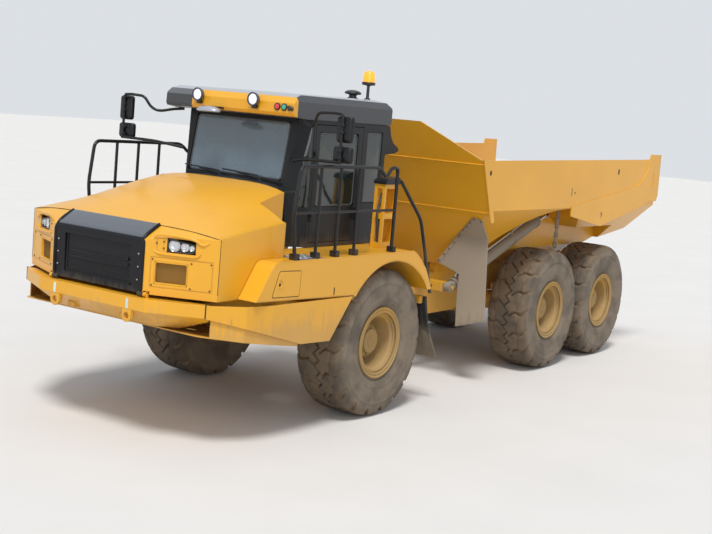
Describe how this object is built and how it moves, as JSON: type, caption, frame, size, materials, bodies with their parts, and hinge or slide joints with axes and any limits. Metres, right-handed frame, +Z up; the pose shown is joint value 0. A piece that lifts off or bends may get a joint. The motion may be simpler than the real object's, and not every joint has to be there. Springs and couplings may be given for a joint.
{
  "type": "articulated dump truck",
  "caption": "Six-wheel articulated dump truck: tilting hood, cab with door, steering hitch that also oscillates, and a tipping body raised by two cylinders.",
  "frame": {"origin": "on the ground under the middle of the whole truck's bounding box", "axes": "+X forward, +Y to the truck's left, +Z up"},
  "size_m": [10.45, 3.185, 3.7061],
  "materials": {
    "yellow_paint": "semi-gloss yellow enamel, dusty, mud streaked below",
    "rim_paint": "yellow enamel, muddy",
    "tyre_rubber": "worn block tread, dry mud",
    "black_paint": "satin black, scuffed",
    "grille_black": "gloss black moulding with satin mesh",
    "roof_grey": "satin grey and yellow, dusty",
    "window_glass": "clear, slightly tinted",
    "seat_trim": "woven dark trim",
    "lamp_body": "black bezel and clear lenses",
    "flap_rubber": "matte black, muddy",
    "guard_grey": "grey-brown, mud covered",
    "cylinder_grey": "dusty grey paint",
    "rod_chrome": "polished, oily"
  },
  "bodies": {
    "front_unit": {"front_frame": "yellow_paint", "steer_brackets": "yellow_paint", "engine_block": "black_paint", "front_axle": "yellow_paint", "front_struts": "cylinder_grey", "bumper": "yellow_paint", "belly_plate": "yellow_paint", "fender_left": "yellow_paint", "fender_right": "yellow_paint", "cab_shell": "black_paint", "cab_roof": "roof_grey", "roof_visor": "yellow_paint", "scuttle": "black_paint", "cab_glass": "window_glass", "cab_seat": "seat_trim", "roof_lamps": "black_paint", "handrails": "black_paint", "mirrors": "black_paint", "ladder": "black_paint", "service_cabinet": "yellow_paint", "cabinet_lid": "black_paint", "front_mudflaps": "flap_rubber"},
    "hood": {"hood_shell": "yellow_paint", "hood_vents": "yellow_paint", "grille": "grille_black", "headlamps": "lamp_body"},
    "door": {"cab_door": "black_paint", "door_glass": "window_glass"},
    "hitch": {"hitch_yoke": "yellow_paint"},
    "steer_barrel_l": {"steer_barrel_left": "cylinder_grey"},
    "steer_rod_l": {"steer_rod_left": "rod_chrome"},
    "steer_barrel_r": {"steer_barrel_right": "cylinder_grey"},
    "steer_rod_r": {"steer_rod_right": "rod_chrome"},
    "rear_unit": {"rear_frame": "yellow_paint", "bogie_beams": "yellow_paint", "mid_axle": "yellow_paint", "rear_axle": "yellow_paint", "tail_lamps": "lamp_body"},
    "bed": {"dump_body": "yellow_paint", "body_guards": "guard_grey", "body_chain": "guard_grey"},
    "hoist_barrels": {"dump_barrels": "cylinder_grey"},
    "hoist_rods": {"dump_rods": "rod_chrome"},
    "wheel_front_left": {"tyre_front_left": "tyre_rubber", "rim_front_left": "rim_paint"},
    "wheel_front_right": {"tyre_front_right": "tyre_rubber", "rim_front_right": "rim_paint"},
    "wheel_mid_left": {"tyre_mid_left": "tyre_rubber", "rim_mid_left": "rim_paint"},
    "wheel_mid_right": {"tyre_mid_right": "tyre_rubber", "rim_mid_right": "rim_paint"},
    "wheel_rear_left": {"tyre_rear_left": "tyre_rubber", "rim_rear_left": "rim_paint"},
    "wheel_rear_right": {"tyre_rear_right": "tyre_rubber", "rim_rear_right": "rim_paint"}
  },
  "joints": [
    {"name": "hood_tilt", "type": "hinge", "parent": "front_unit", "child": "hood", "pos_m": [5.14, 0, 1.432], "axis": [0, 1, 0], "range_deg": [0, 65]},
    {"name": "door_swing", "type": "hinge", "parent": "front_unit", "child": "door", "pos_m": [3.017, 0.866, 2.4], "axis": [0, 0, -1], "range_deg": [0, 34]},
    {"name": "steer", "type": "hinge", "parent": "front_unit", "child": "hitch", "pos_m": [1.15, 0, 0.95], "axis": [0, 0, 1], "range_deg": [-45, 45]},
    {"name": "oscillate", "type": "hinge", "parent": "hitch", "child": "rear_unit", "pos_m": [0.4, 0, 0.95], "axis": [1, 0, 0], "range_deg": [-15, 15]},
    {"name": "steer_swing_l", "type": "hinge", "parent": "front_unit", "child": "steer_barrel_l", "pos_m": [1.95, 0.54, 0.976], "axis": [0, 0, 1], "range_deg": [-6, 6]},
    {"name": "steer_slide_l", "type": "slide", "parent": "steer_barrel_l", "child": "steer_rod_l", "axis": [-0.9778, -0.2095, 0], "range_m": [-0.27, 0.27]},
    {"name": "steer_swing_r", "type": "hinge", "parent": "front_unit", "child": "steer_barrel_r", "pos_m": [1.95, -0.54, 0.976], "axis": [0, 0, 1], "range_deg": [-6, 6]},
    {"name": "steer_slide_r", "type": "slide", "parent": "steer_barrel_r", "child": "steer_rod_r", "axis": [-0.9778, 0.2095, 0], "range_m": [-0.27, 0.27]},
    {"name": "dump", "type": "hinge", "parent": "rear_unit", "child": "bed", "pos_m": [-4, 0, 1.3], "axis": [0, -1, 0], "range_deg": [0, 70]},
    {"name": "hoist_swing", "type": "hinge", "parent": "rear_unit", "child": "hoist_barrels", "pos_m": [0.06, 0, 1.18], "axis": [0, -1, 0], "range_deg": [-6, 0]},
    {"name": "hoist_slide", "type": "slide", "parent": "hoist_barrels", "child": "hoist_rods", "axis": [-0.9449, 0, 0.3275], "range_m": [0, 1.97]},
    {"name": "spin_front_left", "type": "hinge", "parent": "front_unit", "child": "wheel_front_left", "pos_m": [2.3, 1.1375, 0.808], "axis": [0, 1, 0], "continuous": true},
    {"name": "spin_front_right", "type": "hinge", "parent": "front_unit", "child": "wheel_front_right", "pos_m": [2.3, -1.1375, 0.808], "axis": [0, 1, 0], "continuous": true},
    {"name": "spin_mid_left", "type": "hinge", "parent": "rear_unit", "child": "wheel_mid_left", "pos_m": [-1.876, 1.1375, 0.808], "axis": [0, 1, 0], "continuous": true},
    {"name": "spin_mid_right", "type": "hinge", "parent": "rear_unit", "child": "wheel_mid_right", "pos_m": [-1.876, -1.1375, 0.808], "axis": [0, 1, 0], "continuous": true},
    {"name": "spin_rear_left", "type": "hinge", "parent": "rear_unit", "child": "wheel_rear_left", "pos_m": [-3.576, 1.1375, 0.808], "axis": [0, 1, 0], "continuous": true},
    {"name": "spin_rear_right", "type": "hinge", "parent": "rear_unit", "child": "wheel_rear_right", "pos_m": [-3.576, -1.1375, 0.808], "axis": [0, 1, 0], "continuous": true}
  ],
  "couplings": [
    {"joint": "steer_swing_l", "follows": "steer", "ratio": 0.06674},
    {"joint": "steer_slide_l", "follows": "steer", "m_per_rad": 0.33254},
    {"joint": "steer_swing_r", "follows": "steer", "ratio": 0.06674},
    {"joint": "steer_slide_r", "follows": "steer", "m_per_rad": -0.33254},
    {"joint": "hoist_swing", "follows": "dump", "ratio": -0.06127},
    {"joint": "hoist_slide", "follows": "dump", "m_per_rad": 1.6025}
  ]
}
